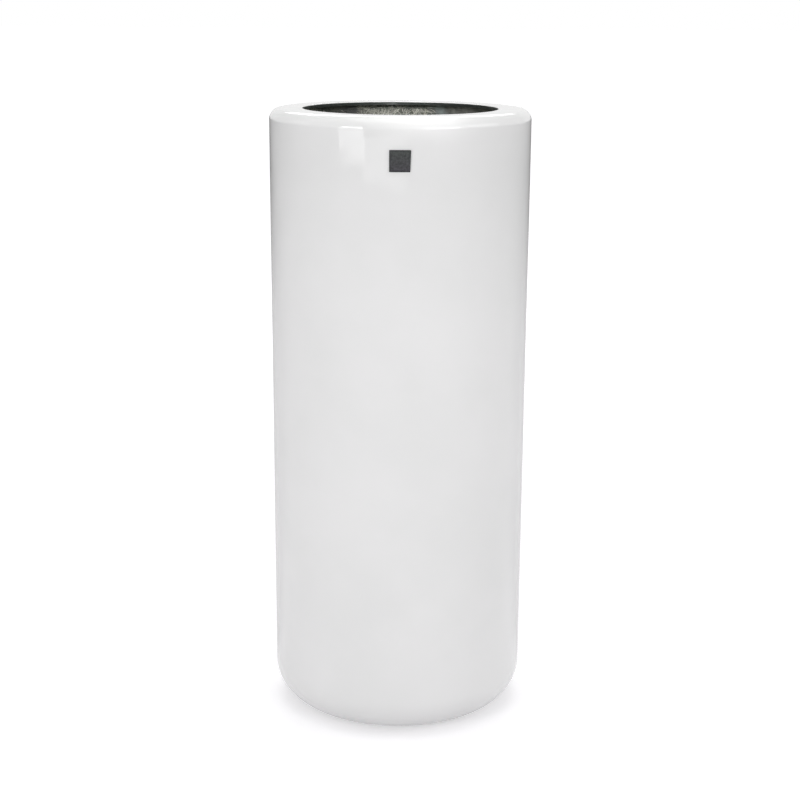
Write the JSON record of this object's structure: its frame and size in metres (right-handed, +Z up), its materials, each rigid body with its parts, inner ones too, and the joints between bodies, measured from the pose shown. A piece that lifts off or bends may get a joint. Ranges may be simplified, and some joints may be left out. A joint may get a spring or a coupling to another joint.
{
  "type": "tall round planter",
  "caption": "Tall straight round floor planter in glossy white moulded fibreglass, with a wide inward rim, a taped-in base panel and a drain plug that lifts out.",
  "frame": {"origin": "on the planter's vertical axis, at the level of the floor under the foot pads", "axes": "+Z up along the axis of the round body, -Y towards the blank label on the front, +X to the right of a viewer who faces the label"},
  "size_m": [0.42, 0.4216, 1.004],
  "materials": {
    "gelcoat": "high gloss white gelcoat",
    "raw_laminate": "raw dark fibreglass laminate with chopped strands showing",
    "panel_laminate": "raw dark fibreglass panel",
    "tape_laminate": "resin-wet glass tape",
    "drain_plastic": "black moulded plastic",
    "seal_rubber": "black rubber washer",
    "plug_rubber": "dark moulded rubber",
    "foot_rubber": "matte dark rubber",
    "label_plate": "blank dark grey plate, satin",
    "adhesive_film": "thin pale adhesive film"
  },
  "bodies": {
    "planter": {"gelcoat_skin": "gelcoat", "laminate_shell": "raw_laminate", "base_panel": "panel_laminate", "base_bonding_tape": "tape_laminate", "drain_bush": "drain_plastic", "drain_lock_nut": "drain_plastic", "drain_seal": "seal_rubber", "foot_pad_1": "foot_rubber", "foot_pad_2": "foot_rubber", "foot_pad_3": "foot_rubber", "foot_pad_4": "foot_rubber", "label_plate": "label_plate", "label_adhesive": "adhesive_film"},
    "plug": {"drain_plug": "plug_rubber"}
  },
  "joints": [
    {"name": "plug_lift", "type": "slide", "parent": "planter", "child": "plug", "axis": [0, 0, 1], "range_m": [0, 0.12]}
  ]
}
